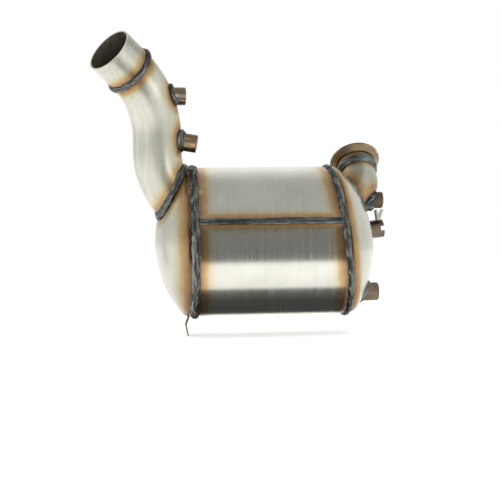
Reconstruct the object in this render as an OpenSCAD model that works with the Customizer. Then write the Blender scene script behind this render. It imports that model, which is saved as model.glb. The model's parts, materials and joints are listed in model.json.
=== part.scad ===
// Diesel particulate filter: a round welded steel canister with a dished cap on each end.
// Exhaust gas enters by the short flanged neck on the inlet cap, passes the catalyst brick
// and the filter brick, and leaves by the S-bend pipe on the outlet cap.
// The canister lies along X, Z is up, and the origin is the middle of the inlet mouth.

/* [Canister] */
// Outside diameter of the round shell
shell_od = 198; // [170:1:240]
// Sheet thickness of the shell
shell_wall = 1.5; // [1:0.1:3]
// Length of the shell on its axis, from end weld to end weld
shell_length = 191; // [150:1:260]
// Slant of the inlet end of the shell and of its cap, in degrees
inlet_slant = 6.5; // [0:0.5:10]
// Height of the lengthwise seam above the middle of the near side, in degrees
seam_angle = 14; // [0:1:40]

/* [End caps] */
// Straight lip of the outlet cap
cap_lip = 8; // [6:0.5:16]
// Straight lip of the inlet cap
inlet_lip = 6; // [5:0.5:16]
// Outside radius of the turn from the lip into the dome
cap_knuckle = 10; // [6:0.5:16]
// Outside radius of the dome
cap_crown = 148; // [130:1:200]
// Sheet thickness of the caps
cap_wall = 1.5; // [1:0.1:3]

/* [Outlet pipe] */
// Outside diameter of the outlet pipe
pipe_od = 63.5; // [50:0.5:70]
// Wall of the outlet pipe and its stub
pipe_wall = 2; // [1.2:0.1:3]
// Distance of the upright run from the outlet end weld
pipe_offset = 46; // [42:0.5:56]
// Shift of the pipe from the canister axis towards the near side
pipe_shift = 20; // [0:1:25]
// Height of the upright run above the top of the shell
pipe_rise = 18; // [14:1:50]
// Centre line radius of the bend that meets the cap
lower_bend = 88; // [85:1:140]
// Length of the upright run between the bends
upright_run = 21; // [20:1:50]
// Centre line radius of the bend that meets the stub
upper_bend = 100; // [85:1:140]
// Turn of the upper bend, in degrees
upper_turn = 56; // [40:1:70]
// Heading of the upper bend towards the near side, in degrees
upper_heading = 40; // [0:1:60]
// Length of the straight stub that takes the pipe clamp
stub_length = 40; // [30:1:80]

/* [Inlet neck] */
// Outside diameter of the inlet neck
neck_od = 48; // [40:0.5:56]
// Wall of the inlet neck
neck_wall = 1.5; // [1.2:0.1:3]
// Straight root of the neck above the dome
neck_root = 4; // [3:0.5:8]
// Centre line radius of the neck's tight elbow
neck_bend = 25; // [24.5:0.5:40]
// Turn of the elbow, in degrees
neck_turn = 65; // [50:1:75]
// Heading of the elbow, in degrees from the way out over the dome
neck_twist = -21; // [-40:1:0]
// Straight run of the neck from the elbow to the flange
neck_run = 22.5; // [14:0.5:60]
// Place of the neck on the dome, in degrees from the middle of the cap
neck_place = 25.5; // [22:0.5:27]
// Turn of that place from the top towards the far side, in degrees
neck_clock = 24; // [0:0.5:40]

/* [Inlet flange] */
// Outside diameter of the clamped rim
flange_od = 70; // [60:0.5:80]
// Edge thickness of the rim
rim_edge = 2.5; // [1.5:0.1:5]
// Axial length of the tapered back that the band clamp pulls on
flange_taper = 7; // [4:0.5:12]
// Outside diameter of the flange hub
hub_od = 54; // [50:0.5:62]
// Length of the flange hub
hub_length = 7; // [6:0.5:20]
// Diameter of the gas bore in the flange
inlet_bore = 44; // [36:0.5:50]
// Width of the locating notch in the rim
notch_width = 4; // [2:0.5:8]
// Place of the notch round the rim, in degrees
notch_place = 165; // [0:5:355]
// Depth of the relief groove between the tapered back and the hub
groove_depth = 1; // [0.5:0.1:2]

/* [Sensor bosses] */
// Outside diameter of the sensor bosses on the pipe
boss_od = 23.5; // [21:0.5:28]
// Thread core diameter of those bosses
boss_core = 16.4; // [14:0.1:17]
// Outside diameter of the small boss on the neck
small_boss_od = 22.5; // [18:0.5:26]
// Thread core diameter of the small boss
small_boss_core = 12.4; // [10:0.1:14]
// Threaded length in each boss
thread_length = 11; // [8:0.5:14]
// Chamfer at the mouth of each boss
boss_chamfer = 1; // [0.5:0.1:2]
// Extra radius of the relief behind each thread and of the hole in the wall below
relief = 0.6; // [0.4:0.1:1.5]
// Height of the upper pipe boss above the pipe wall
upper_boss_stand = 17.5; // [15:0.5:30]
// Height of the lower pipe boss above the pipe wall
lower_boss_stand = 21; // [15:0.5:30]
// Place of the upper pipe boss on the upper bend, in degrees
upper_boss_place = 32; // [24:0.5:40]
// Place of the lower pipe boss above the middle of the upright run
lower_boss_place = 10; // [0:0.5:10]
// Droop of the lower pipe boss, in degrees
lower_boss_droop = 10; // [0:1:15]

/* [Cap bosses] */
// Outside diameter of the two bosses on the inlet cap
cap_boss_od = 25; // [21:0.5:28]
// Height of the rear cap boss above the dome
rear_boss_stand = 34; // [22:0.5:36]
// Place of the rear cap boss, in degrees from the middle of the cap
rear_boss_place = 17; // [14:0.5:26]
// Turn of that place from the top towards the far side, in degrees
rear_boss_clock = 80; // [60:1:130]
// Width of the slot across the end of the rear boss
slot_width = 6; // [4:0.5:9]
// Depth of the slot across the end of the rear boss
slot_depth = 5; // [3:0.5:7]
// Height of the low cap boss above the dome
low_boss_stand = 20; // [17:0.5:30]
// Place of the low cap boss, in degrees from the middle of the cap
low_boss_place = 30; // [22:0.5:32]
// Turn of that place from the top, in degrees
low_boss_clock = 180; // [150:1:200]
// Height of the small boss above the neck wall
neck_boss_stand = 16; // [13:0.5:30]
// Drop of the small boss below the start of the elbow
neck_boss_drop = 9; // [4:0.5:11]

/* [Welds] */
// Width of the bead round the outlet end of the shell
ring_bead_width = 10.5; // [6:0.5:12]
// Width of the bead round the slanted inlet end
inlet_bead_width = 8.5; // [6:0.5:10]
// Height of the beads round the shell ends and along the seam
ring_bead_height = 3; // [1.5:0.5:4]
// Width of the lengthwise seam bead
seam_bead_width = 8; // [5:0.5:10]
// Leg of the fillet bead where the pipe meets the outlet cap
pipe_bead_leg = 6.5; // [4:0.5:8]
// Leg of the fillet bead where the neck meets the inlet cap
neck_bead_leg = 6; // [4:0.5:8]
// Leg of the fillet beads round the bosses
boss_bead_leg = 4.5; // [3:0.5:6]
// Leg of the wide fillet bead round the small boss
neck_boss_bead_leg = 3.5; // [3:0.5:7]
// Width of the bead between the pipe and its stub
stub_bead_width = 8; // [5:0.5:10]
// Leg of the fillet bead behind the flange hub
flange_bead_leg = 9.5; // [5:0.5:10]

/* [Bricks] */
// Thickness of the mat packed round the bricks
mat_thickness = 4; // [3:0.5:6]
// Length of the catalyst brick
catalyst_length = 40; // [30:1:60]
// Gap between the two bricks
brick_gap = 10; // [6:1:20]
// Distance of the bricks from the shell ends
brick_inset = 8; // [6:1:14]
// Width of the knitted wire rings at the ends of the filter mat
wire_ring_width = 6; // [4:0.5:10]
// Pitch of the cemented filter segments
segment_pitch = 35; // [30:1:45]
// Width and depth of the cement joints on the filter faces
joint_size = 1.2; // [0.8:0.1:2]

/* [Brackets] */
// Sheet thickness of the brackets
bracket_sheet = 2; // [1.5:0.1:3]
// Width of the hanger strip under the outlet cap
hanger_width = 22; // [15:1:40]
// Drop of the hanger strip below the cap
hanger_drop = 25; // [18:1:40]
// Offset of the kink in the hanger strip
hanger_kink = 5; // [3:0.5:10]
// Width of the line clip beside the rear boss
clip_width = 14; // [10:1:24]
// Height of the arms of the line clip
clip_height = 14; // [10:0.5:24]
// Opening between the tips of the line clip
clip_opening = 9; // [6:0.5:14]

/* [Hidden] */
$fn = 96;
// Free play between a mat and what it packs
mat_play = 0.05;
// Stand-off of the swept beads from the walls they sit on
bead_play = 0.08;
// Stand-off of the stub bead, which also clears the end of the bend
stub_bead_play = 0.15;
// Growth in radius of the neck's end, which is sized to suit the flange hub
neck_swell = 0.3;
// Growth in radius of the upright run, since bending draws the tube in a little
upright_swell = 0.2;
// Lap of a sized length over the end of the bend beside it
sized_lap = 1;
shell_r = shell_od / 2;
pipe_r = pipe_od / 2;
neck_r = neck_od / 2;
sized_r = neck_r + neck_swell;
boss_r = boss_od / 2;
cap_boss_r = cap_boss_od / 2;
small_boss_r = small_boss_od / 2;
knuckle_ring = shell_r - cap_knuckle;
crown_drop = sqrt(pow(cap_crown - cap_knuckle, 2) - pow(knuckle_ring, 2));
crown_limit = asin(knuckle_ring / (cap_crown - cap_knuckle));
short_side = shell_length - shell_r * tan(inlet_slant);
brick_r = shell_r - shell_wall - mat_thickness;
filter_length = short_side - 2 * brick_inset - brick_gap - catalyst_length;
catalyst_start = brick_inset + filter_length + brick_gap;

// Unit direction that leans from upright by one angle towards a heading
function way(lean, heading) = [sin(lean) * cos(heading), sin(lean) * sin(heading), cos(lean)];
function unit(v) = v / norm(v);

// The inlet cap's own axis, its up direction and the middle of its dome sphere
cap_axis = [cos(inlet_slant), 0, sin(inlet_slant)];
cap_up = [-sin(inlet_slant), 0, cos(inlet_slant)];
inlet_end = [shell_length, 0, 0];
dome_middle = inlet_end + (inlet_lip - crown_drop) * cap_axis;

// Point on the inlet dome, by its angle from the middle and its turn from the top
function on_dome(place, clock) = dome_middle + cap_crown * (cos(place) * cap_axis
    + sin(place) * (cos(clock) * cap_up + sin(clock) * [0, 1, 0]));

// Height of a point above the outside of a cap, from its axial height and its radius
function above_cap(h, r) =
    atan2(r, h + crown_drop) <= crown_limit ? norm([r, h + crown_drop]) - cap_crown
    : h > 0 ? norm([r - knuckle_ring, h]) - cap_knuckle
    : r - shell_r;
function above_outlet(p) = above_cap(-p[0] - cap_lip, norm([p[1], p[2]]));
function above_inlet(p) = let(q = p - inlet_end)
    above_cap(q * cap_axis - inlet_lip, norm([q[1], q * cap_up]));
function above(end, p) = end == "outlet" ? above_outlet(p) : above_inlet(p);
// Outward direction of the cap's skin below a point
function skin_way(end, p) = let(e = 0.01) unit([
    above(end, p + [e, 0, 0]) - above(end, p - [e, 0, 0]),
    above(end, p + [0, e, 0]) - above(end, p - [0, e, 0]),
    above(end, p + [0, 0, e]) - above(end, p - [0, 0, e])]);

// Outlet pipe: middle of each bend, points on the centre line and its direction
knee_z = shell_r + pipe_rise;
lower_middle = [lower_bend - pipe_offset, -pipe_shift, knee_z];
upper_start = [-pipe_offset, -pipe_shift, knee_z + upright_run];
function upper_point(turn) = upper_start + upper_bend
    * ((1 - cos(turn)) * [-cos(upper_heading), -sin(upper_heading), 0] + [0, 0, sin(turn)]);

// Inlet neck: it leaves square to the dome, turns in one elbow and runs straight to the flange
neck_foot = on_dome(neck_place, neck_clock);
root_way = unit(neck_foot - dome_middle);
round_way = cos(neck_clock) * [0, 1, 0] - sin(neck_clock) * cap_up;
out_way = cross(root_way, round_way);
elbow_side = cos(neck_twist) * out_way - sin(neck_twist) * round_way;
elbow_start = neck_foot + neck_root * root_way;
elbow_end = elbow_start + neck_bend * (sin(neck_turn) * root_way + (1 - cos(neck_turn)) * elbow_side);
neck_way = cos(neck_turn) * root_way + sin(neck_turn) * elbow_side;
mouth = elbow_end + (neck_run + hub_length + flange_taper + rim_edge) * neck_way;
// Height of the neck's foot line above the middle of the dome sphere
neck_foot_height = sqrt(pow(cap_crown, 2) - pow(neck_r, 2));

// Bosses: a point on the axis of each, with its lean and heading
upper_boss_at = upper_point(upper_boss_place);
lower_boss_at = [-pipe_offset, -pipe_shift, knee_z + upright_run / 2 + lower_boss_place];
upper_boss_lean = [90, 6];
lower_boss_lean = [90 + lower_boss_droop, -4];
rear_boss_at = on_dome(rear_boss_place, rear_boss_clock);
rear_boss_lean = [90 - inlet_slant, 0];
low_boss_at = on_dome(low_boss_place, low_boss_clock);
low_boss_lean = [90, 4];
neck_boss_at = elbow_start - [0, 0, neck_boss_drop];
neck_boss_lean = [90, 0];

// Section of a convex fillet: the corner, both legs, the points between them and its seat
function fillet(corner, leg_a, leg_b, out, seat) = let(mid = (leg_a + leg_b) / 2)
    concat([corner, leg_a, (2 * leg_a + mid) / 3 + 0.55 * out, mid + out,
        (2 * leg_b + mid) / 3 + 0.55 * out, leg_b], seat);
function ring_faces(n, k) = [for (i = [0:n - 1]) for (j = [0:k - 1]) each [
    [i * k + j, i * k + (j + 1) % k, ((i + 1) % n) * k + (j + 1) % k],
    [i * k + j, ((i + 1) % n) * k + (j + 1) % k, ((i + 1) % n) * k + j]]];

// Where a straight round piece meets the inlet cap, found by halving the step
function meet(p, d, low, high, n) = n == 0 ? (low + high) / 2
    : let(m = (low + high) / 2) above_inlet(p + m * d) > 0 ? meet(p, d, low, m, n - 1)
    : meet(p, d, m, high, n - 1);
function foot_section(at, lean, r, leg, turn) = let(
    d = way(lean[0], lean[1]),
    side = way(lean[0] + 90, lean[1]),
    e = cos(turn) * side + sin(turn) * cross(d, side),
    p = at + (r + bead_play) * e,
    c = p + (meet(p, d, -3 * r, 3 * r, 24) + bead_play) * d,
    s = skin_way("inlet", c),
    m = unit(e - (e * s) * s),
    b = c + leg * m,
    on = b + (bead_play - above_inlet(b)) * skin_way("inlet", b))
    fillet(c, c + leg * d, on, 0.16 * leg * unit(d + m), []);

// Point on the lower bend, by the turn along it and the turn round it
function bend_point(r, along, round) = lower_middle
    + (lower_bend + r * cos(round)) * [-cos(along), 0, -sin(along)] + [0, r * sin(round), 0];
function bend_meet(r, round, low, high, n) = n == 0 ? (low + high) / 2
    : let(m = (low + high) / 2) above_outlet(bend_point(r, m, round)) > 0
    ? bend_meet(r, round, m, high, n - 1) : bend_meet(r, round, low, m, n - 1);
function pipe_section(round) = let(
    r = pipe_r + bead_play,
    step = pipe_bead_leg / (lower_bend + r * cos(round)) * 180 / PI,
    t = bend_meet(r, round, 0, 70, 24) - bead_play / 2,
    c = bend_point(r, t, round),
    e = unit(c - bend_point(0, t, round)),
    s = skin_way("outlet", c),
    m = unit(e - (e * s) * s),
    seat = [for (k = [4:-1:1]) let(b = c + k / 4 * pipe_bead_leg * m)
        b + (bead_play - above_outlet(b)) * skin_way("outlet", b)],
    a = bend_point(r, t - step, round))
    fillet(c, a, seat[0], 0.16 * pipe_bead_leg * unit(unit(a - c) + m), [seat[1], seat[2], seat[3]]);

// Section of the bead on the slanted end, from the shell over the joint to the lip of the cap
function slant_section(turn) = let(
    r = shell_r / cos(1.5) + bead_play,
    half = inlet_bead_width / 2,
    e = [0, sin(turn), cos(turn)],
    joint = [shell_length - r * cos(turn) * tan(inlet_slant), 0, 0] + r * e,
    lip = inlet_end + half * cap_axis + r * (sin(turn) * [0, 1, 0] + cos(turn) * cap_up))
    fillet(joint, joint - [half, 0, 0], lip, ring_bead_height * e, []);

// Places a piece drawn from the outlet weld into the frame of the inlet mouth
module in_frame() {
    translate(-mouth) children();
}

// Turns a piece drawn along Z to a direction and a place
module stand(at, lean) {
    translate(at) rotate([0, lean[0], lean[1]]) children();
}

// Outside form of a cap drawn along Z, thinner by an inset, with a tail behind its lip line
module cap_form(inset, tail) {
    rotate_extrude() {
        translate([0, -tail]) square([shell_r - inset, tail + 0.001]);
        intersection() {
            translate([knuckle_ring, 0]) circle(cap_knuckle - inset);
            square([shell_r, shell_r]);
        }
        intersection() {
            translate([0, -crown_drop]) circle(cap_crown - inset);
            polygon([[0, 0], [knuckle_ring, 0], [knuckle_ring, 0]
                + cap_crown * [sin(crown_limit), cos(crown_limit)], [0, cap_crown]]);
        }
    }
}

// A cap form laid on the outlet end or on the slanted inlet end
module at_outlet() {
    translate([-cap_lip, 0, 0]) rotate([0, -90, 0]) children();
}

module at_inlet() {
    translate(inlet_end) rotate([0, 90 - inlet_slant, 0]) translate([0, 0, inlet_lip]) children();
}

// Round bar, or tube where it has a wall, turned through a bend or run straight along Z
module round_profile(r, wall) {
    difference() {
        circle(r);
        if (wall > 0) circle(r - wall);
    }
}

module bend(radius, turn, r, wall) {
    rotate_extrude(angle = turn) translate([radius, 0]) round_profile(r, wall);
}

module run(length, r, wall) {
    linear_extrude(height = length) round_profile(r, wall);
}

// The three lengths of the outlet pipe, and the frame of its stub
module at_knee() {
    translate([-pipe_offset, -pipe_shift, knee_z]) children();
}

module at_upper_bend() {
    at_knee() translate([0, 0, upright_run]) rotate([0, 0, upper_heading])
        translate([-upper_bend, 0, 0]) children();
}

module lower_length(r, wall) {
    at_knee() translate([lower_bend, 0, 0]) rotate([0, 180, 0]) rotate([90, 0, 0])
        bend(lower_bend, 56, r, wall);
}

module upright_length(r, wall) {
    at_knee() translate([0, 0, -sized_lap])
        run(upright_run + 2 * sized_lap, r + upright_swell, wall);
}

module upper_length(r, wall) {
    at_upper_bend() rotate([90, 0, 0]) bend(upper_bend, upper_turn, r, wall);
}

module at_stub() {
    at_upper_bend() rotate([0, -upper_turn, 0]) translate([upper_bend, 0, 0]) children();
}

// The frame of a place on the inlet dome, square to it, and of the neck's foot and flange there
module on_inlet_dome(place, clock) {
    translate(dome_middle) rotate([0, 90 - inlet_slant, 0]) rotate([0, place, 180 - clock])
        translate([0, 0, cap_crown]) children();
}

module at_neck() {
    on_inlet_dome(neck_place, neck_clock) rotate([0, 0, neck_twist]) children();
}

module past_elbow() {
    translate([neck_bend, 0, neck_root]) rotate([0, neck_turn, 0]) translate([-neck_bend, 0, 0])
        children();
}

module at_flange() {
    at_neck() past_elbow() translate([0, 0, neck_run]) children();
}

// The three lengths of the neck, drawn from its foot
module neck_root_length(r, wall) {
    translate([0, 0, -neck_r]) run(neck_r + neck_root, r, wall);
}

module neck_elbow(r, wall) {
    translate([neck_bend, 0, neck_root]) mirror([1, 0, 0]) rotate([90, 0, 0])
        bend(neck_bend, neck_turn, r, wall);
}

module neck_run_length() {
    past_elbow() translate([0, 0, -sized_lap]) run(neck_run + sized_lap, sized_r, 0);
}

module neck_bar() {
    at_neck() {
        neck_root_length(neck_r, 0);
        neck_elbow(neck_r, 0);
        neck_run_length();
    }
}

// The dome sphere of the inlet cap, and the same sphere seen from a place on it
module inlet_dome() {
    translate(dome_middle) sphere(cap_crown);
}

module dome_below() {
    translate([0, 0, -cap_crown]) sphere(cap_crown, $fn = 300);
}

// Solid blank of a boss and the holes through it, on its own axis from a depth below its seat
module boss_blank(r, depth, height) {
    translate([0, 0, -depth]) cylinder(r = r, h = depth + height - boss_chamfer);
    translate([0, 0, height - boss_chamfer])
        cylinder(r1 = r, r2 = r - boss_chamfer / 2, h = boss_chamfer);
}

module boss_hole(core_r, depth, height, top) {
    translate([0, 0, -depth]) cylinder(r = core_r + relief, h = depth + height - top - thread_length);
    translate([0, 0, height - top - thread_length]) cylinder(r = core_r, h = thread_length);
    translate([0, 0, height - top])
        cylinder(r1 = core_r, r2 = core_r + boss_chamfer, h = boss_chamfer);
    translate([0, 0, height - top + boss_chamfer])
        cylinder(r = core_r + boss_chamfer, h = top + boss_chamfer);
}

// Straight hole through the wall below a boss
module wall_hole(core_r, depth, height) {
    translate([0, 0, -depth]) cylinder(r = core_r + relief, h = depth + height);
}

// Coned fillet round a boss that stands on a pipe
module boss_fillet(r, leg, depth, height) {
    translate([0, 0, -depth]) cylinder(r = r + leg, h = depth + height - leg);
    translate([0, 0, height - leg]) cylinder(r1 = r + leg, r2 = r + leg * 0.15, h = leg);
}

// Bead of circular segment section on a round wall, drawn along Z
module ring_bead(wall_r, width, height) {
    bead_r = (width * width / 4 + height * height) / (2 * height);
    rotate_extrude() intersection() {
        translate([wall_r + height - bead_r, 0]) circle(bead_r);
        translate([wall_r, -width]) square([2 * height, 2 * width]);
    }
}

module swept_bead(sections) {
    polyhedron(
        points = [for (s = sections) each s],
        faces = ring_faces(len(sections), len(sections[0])));
}

// Tube shell, cut on the slant at the inlet end
module canister_shell() {
    color("Silver") in_frame() difference() {
        rotate([0, 90, 0]) cylinder(r = shell_r, h = shell_length + shell_r);
        translate([-1, 0, 0]) rotate([0, 90, 0])
            cylinder(r = shell_r - shell_wall, h = shell_length + shell_r + 2);
        translate(inlet_end) rotate([0, -inlet_slant, 0])
            translate([0, -shell_od, -shell_od]) cube(2 * shell_od);
    }
}

// Dished cap on the outlet end, open into the outlet pipe
module outlet_cap() {
    color("Gainsboro") in_frame() difference() {
        at_outlet() difference() {
            cap_form(0, cap_lip);
            cap_form(cap_wall, cap_lip + 1);
        }
        lower_length(pipe_r - pipe_wall, 0);
    }
}

// Dished cap on the inlet end, open into the neck and below its two bosses
module inlet_cap() {
    color("Gainsboro") in_frame() difference() {
        at_inlet() difference() {
            cap_form(0, inlet_lip);
            cap_form(cap_wall, inlet_lip + 1);
        }
        at_neck() neck_root_length(neck_r - neck_wall, 0);
        stand(rear_boss_at, rear_boss_lean) wall_hole(boss_core / 2, cap_boss_od, cap_boss_od);
        stand(low_boss_at, low_boss_lean) wall_hole(boss_core / 2, cap_boss_od, cap_boss_od);
    }
}

// Lower bend of the outlet pipe, coped to sit on the outlet cap
module pipe_foot() {
    color("Gainsboro") in_frame() difference() {
        lower_length(pipe_r, pipe_wall);
        at_outlet() cap_form(0, shell_length);
    }
}

// Upright run of the outlet pipe between its bends
module outlet_pipe() {
    color("Gainsboro") in_frame() difference() {
        at_knee() run(upright_run, pipe_r + upright_swell, pipe_wall);
        stand(lower_boss_at, lower_boss_lean) wall_hole(boss_core / 2, 0, pipe_od);
    }
}

// Upper bend of the outlet pipe
module pipe_elbow() {
    color("Gainsboro") in_frame() difference() {
        upper_length(pipe_r, pipe_wall);
        stand(upper_boss_at, upper_boss_lean) wall_hole(boss_core / 2, 0, pipe_od);
        stand(lower_boss_at, lower_boss_lean) wall_hole(boss_core / 2, 0, pipe_od);
    }
}

// Straight stub that the next pipe is clamped to
module outlet_stub() {
    color("Gainsboro") in_frame() at_stub() run(stub_length, pipe_r, pipe_wall);
}

// Neck with its tight elbow, coped to sit on the inlet cap
module inlet_neck() {
    color("Gainsboro") in_frame() difference() {
        at_neck() union() {
            difference() {
                neck_root_length(neck_r, neck_wall);
                dome_below();
            }
            neck_elbow(neck_r, neck_wall);
        }
        stand(neck_boss_at, neck_boss_lean) wall_hole(small_boss_core / 2, 0, neck_od);
    }
}

// Straight end of the neck, sized to suit the flange hub
module neck_collar() {
    color("Gainsboro") in_frame() at_neck() past_elbow() run(neck_run, sized_r, neck_wall);
}

// Band clamp flange: hub, relief groove, tapered back, thin rim, bore and locating notch
module inlet_flange() {
    rim_z = hub_length + flange_taper;
    color("RosyBrown") in_frame() at_flange() difference() {
        union() {
            cylinder(d = hub_od, h = rim_z);
            translate([0, 0, hub_length]) cylinder(d1 = hub_od, d2 = flange_od, h = flange_taper);
            translate([0, 0, rim_z]) cylinder(d = flange_od, h = rim_edge);
        }
        translate([0, 0, -1]) cylinder(d = inlet_bore, h = rim_z + rim_edge + 2);
        translate([0, 0, hub_length - groove_depth]) difference() {
            cylinder(d = flange_od, h = 2 * groove_depth);
            translate([0, 0, -1]) cylinder(d = hub_od - 2 * groove_depth, h = 2 * groove_depth + 2);
        }
        rotate(notch_place) translate([flange_od / 2 - notch_width / 2, -notch_width / 2, rim_z - 1])
            cube([notch_width, notch_width, rim_edge + 2]);
    }
}

// Bead round the outlet end of the shell
module outlet_ring_weld() {
    color("DimGray") in_frame() rotate([0, 90, 0])
        ring_bead(shell_r, ring_bead_width, ring_bead_height);
}

// Bead round the slanted inlet end of the shell
module inlet_ring_weld() {
    color("DimGray") in_frame() swept_bead([for (i = [0:119]) slant_section(i * 3)]);
}

// Lengthwise bead where the shell sheet closes, between the two ring beads
module seam_weld() {
    bead_r = (pow(seam_bead_width / 2, 2) + pow(ring_bead_height, 2)) / (2 * ring_bead_height);
    start = ring_bead_width / 2;
    color("DimGray") in_frame() difference() {
        translate([start, 0, 0]) rotate([-seam_angle, 0, 0]) rotate([90, 0, 90])
            linear_extrude(height = shell_length) intersection() {
                translate([bead_r - shell_r - ring_bead_height, 0]) circle(bead_r);
                translate([-shell_r - 2 * ring_bead_height, -seam_bead_width])
                    square([2 * ring_bead_height, 2 * seam_bead_width]);
            }
        translate(inlet_end) rotate([0, -inlet_slant, 0])
            translate([-inlet_bead_width / 2, -shell_od, -shell_od]) cube(2 * shell_od);
    }
}

// Fillet bead that follows the line where the bent pipe meets the outlet cap
module outlet_pipe_weld() {
    color("DimGray") in_frame() swept_bead([for (i = [0:119]) pipe_section(-i * 3)]);
}

// Bead between the bent pipe and its stub
module outlet_stub_weld() {
    color("DimGray") in_frame() at_stub()
        ring_bead(pipe_r + stub_bead_play, stub_bead_width, ring_bead_height);
}

// Fillet bead round the foot of the neck, which stays below the start of the elbow
module neck_bead() {
    at_neck() translate([0, 0, -cap_crown]) rotate_extrude() intersection() {
        difference() {
            translate([neck_r, 0]) square([2 * neck_bead_leg, neck_foot_height + neck_bead_leg]);
            circle(cap_crown, $fn = 400);
        }
        translate([neck_r, neck_foot_height]) circle(neck_bead_leg * 0.9);
    }
}

module inlet_neck_weld() {
    color("DimGray") in_frame() neck_bead();
}

// Fillet bead behind the flange hub
module inlet_flange_weld() {
    color("SlateGray") in_frame() at_flange() rotate_extrude()
        intersection() {
            translate([sized_r, -flange_bead_leg]) square(flange_bead_leg);
            translate([sized_r - flange_bead_leg * 0.55, -flange_bead_leg * 0.3])
                circle(flange_bead_leg * 0.9);
        }
}

// Threaded boss on the upper bend
module upper_pipe_boss() {
    height = pipe_r + upper_boss_stand;
    color("Peru") in_frame() difference() {
        stand(upper_boss_at, upper_boss_lean) boss_blank(boss_r, 0, height);
        upper_length(pipe_r, 0);
        stand(upper_boss_at, upper_boss_lean) boss_hole(boss_core / 2, 0, height, boss_chamfer);
    }
}

// Threaded boss on the upright run
module lower_pipe_boss() {
    height = pipe_r + lower_boss_stand;
    color("Peru") in_frame() difference() {
        stand(lower_boss_at, lower_boss_lean) boss_blank(boss_r, 0, height);
        lower_length(pipe_r, 0);
        upright_length(pipe_r, 0);
        upper_length(pipe_r, 0);
        stand(lower_boss_at, lower_boss_lean) boss_hole(boss_core / 2, 0, height, boss_chamfer);
    }
}

// Small threaded boss on the neck
module neck_boss() {
    height = neck_r + neck_boss_stand;
    color("Peru") in_frame() difference() {
        stand(neck_boss_at, neck_boss_lean) boss_blank(small_boss_r, 0, height);
        neck_bar();
        inlet_dome();
        stand(neck_boss_at, neck_boss_lean) boss_hole(small_boss_core / 2, 0, height, boss_chamfer);
    }
}

// Threaded boss on the far side of the inlet cap, with a slot across its end
module rear_cap_boss() {
    color("Peru") in_frame() difference() {
        stand(rear_boss_at, rear_boss_lean) boss_blank(cap_boss_r, cap_boss_od, rear_boss_stand);
        inlet_dome();
        stand(rear_boss_at, rear_boss_lean)
            boss_hole(boss_core / 2, cap_boss_od, rear_boss_stand, slot_depth + boss_chamfer);
        stand(rear_boss_at, rear_boss_lean)
            translate([-slot_width / 2, -cap_boss_od, rear_boss_stand - slot_depth])
            cube([slot_width, 2 * cap_boss_od, 2 * slot_depth]);
    }
}

// Threaded boss low on the inlet cap
module low_cap_boss() {
    color("Peru") in_frame() difference() {
        stand(low_boss_at, low_boss_lean) boss_blank(cap_boss_r, cap_boss_od, low_boss_stand);
        inlet_dome();
        stand(low_boss_at, low_boss_lean)
            boss_hole(boss_core / 2, cap_boss_od, low_boss_stand, boss_chamfer);
    }
}

// Coned fillet beads round the bosses on the pipe and the neck
module upper_pipe_boss_weld() {
    color("DimGray") in_frame() difference() {
        intersection() {
            stand(upper_boss_at, upper_boss_lean) difference() {
                boss_fillet(boss_r, boss_bead_leg, 0, pipe_r + 1.6 * boss_bead_leg);
                cylinder(r = boss_r, h = pipe_od);
            }
            upper_length(pipe_r + 0.8 * boss_bead_leg, 0);
        }
        upper_length(pipe_r, 0);
    }
}

module lower_pipe_boss_weld() {
    color("DimGray") in_frame() difference() {
        stand(lower_boss_at, lower_boss_lean) difference() {
            boss_fillet(boss_r, boss_bead_leg, 0, pipe_r + boss_bead_leg);
            cylinder(r = boss_r, h = pipe_od);
        }
        lower_length(pipe_r, 0);
        upright_length(pipe_r, 0);
        upper_length(pipe_r, 0);
    }
}

module neck_boss_weld() {
    color("DimGray") in_frame() difference() {
        stand(neck_boss_at, neck_boss_lean) difference() {
            boss_fillet(small_boss_r, neck_boss_bead_leg, -neck_r * 0.4, neck_r + 1.3 * neck_boss_bead_leg);
            cylinder(r = small_boss_r, h = neck_od);
        }
        neck_bar();
        inlet_dome();
        neck_bead();
    }
}

// Fillet beads that follow the feet of the two bosses on the inlet cap
module rear_cap_boss_weld() {
    color("DimGray") in_frame() swept_bead([for (i = [0:47])
        foot_section(rear_boss_at, rear_boss_lean, cap_boss_r, boss_bead_leg, i * 7.5)]);
}

module low_cap_boss_weld() {
    color("DimGray") in_frame() swept_bead([for (i = [0:47])
        foot_section(low_boss_at, low_boss_lean, cap_boss_r, boss_bead_leg, i * 7.5)]);
}

// Filter brick of cemented segments, with the cement joints sunk into both faces
module filter_brick() {
    steps = floor(brick_r / segment_pitch);
    color("DarkSlateGray") in_frame() translate([brick_inset, 0, 0]) difference() {
        rotate([0, 90, 0]) cylinder(r = brick_r, h = filter_length);
        for (i = [-steps:steps]) {
            for (x = [0, filter_length]) {
                translate([x - joint_size, -shell_r, i * segment_pitch - joint_size / 2])
                    cube([2 * joint_size, shell_od, joint_size]);
                translate([x - joint_size, i * segment_pitch - joint_size / 2, -shell_r])
                    cube([2 * joint_size, joint_size, shell_od]);
            }
        }
    }
}

// Coated catalyst brick in front of the filter
module catalyst_brick() {
    color("Tan") in_frame() translate([catalyst_start, 0, 0])
        rotate([0, 90, 0]) cylinder(r = brick_r, h = catalyst_length);
}

// Sleeve between a brick and the shell
module sleeve(start, length) {
    translate([start, 0, 0]) rotate([0, 90, 0]) difference() {
        cylinder(r = shell_r - shell_wall - mat_play, h = length);
        translate([0, 0, -1]) cylinder(r = brick_r + mat_play, h = length + 2);
    }
}

// Fibre mats packed round the two bricks
module filter_mat() {
    color("White") in_frame()
        sleeve(brick_inset + wire_ring_width + mat_play,
            filter_length - 2 * (wire_ring_width + mat_play));
}

module catalyst_mat() {
    color("White") in_frame() sleeve(catalyst_start, catalyst_length);
}

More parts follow.
